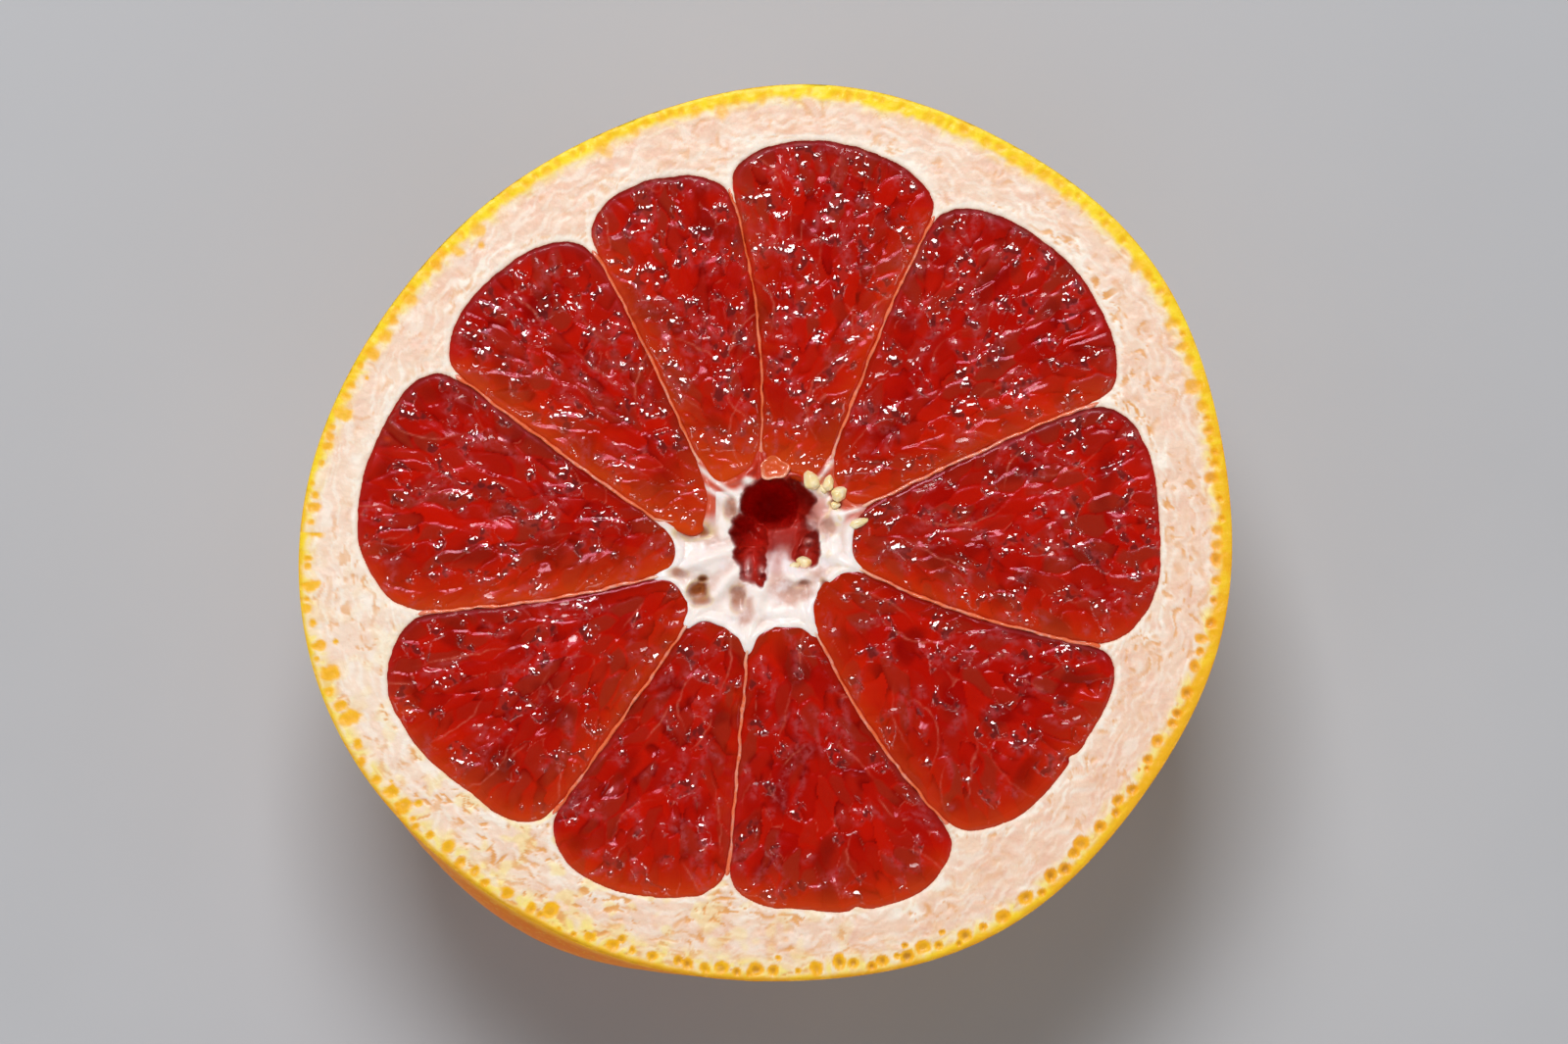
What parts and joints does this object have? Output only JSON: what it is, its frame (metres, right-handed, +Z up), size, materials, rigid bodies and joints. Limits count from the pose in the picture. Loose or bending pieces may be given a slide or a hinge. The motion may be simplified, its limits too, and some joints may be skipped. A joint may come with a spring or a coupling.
{
  "type": "pink grapefruit half",
  "caption": "Half of a pink grapefruit, cut across, lying on its rind with the juicy cut face up; garnish, breakfast or kitchen prop.",
  "frame": {"origin": "middle of the bounding box's base, on the surface that the half lies on", "axes": "+Z up, out of the cut face; +X along the cut face's longer width; +Y towards the top of the cut face as a viewer from above sees it"},
  "size_m": [0.1048, 0.1006, 0.0461],
  "materials": {
    "peel": "waxy yellow-orange rind with fine pores, over white spongy pith",
    "flesh": "wet, translucent deep red pulp"
  },
  "bodies": {
    "root": {"peel": "peel", "segment_01": "flesh", "segment_02": "flesh", "segment_03": "flesh", "segment_04": "flesh", "segment_05": "flesh", "segment_06": "flesh", "segment_07": "flesh", "segment_08": "flesh", "segment_09": "flesh", "segment_10": "flesh"}
  },
  "joints": []
}
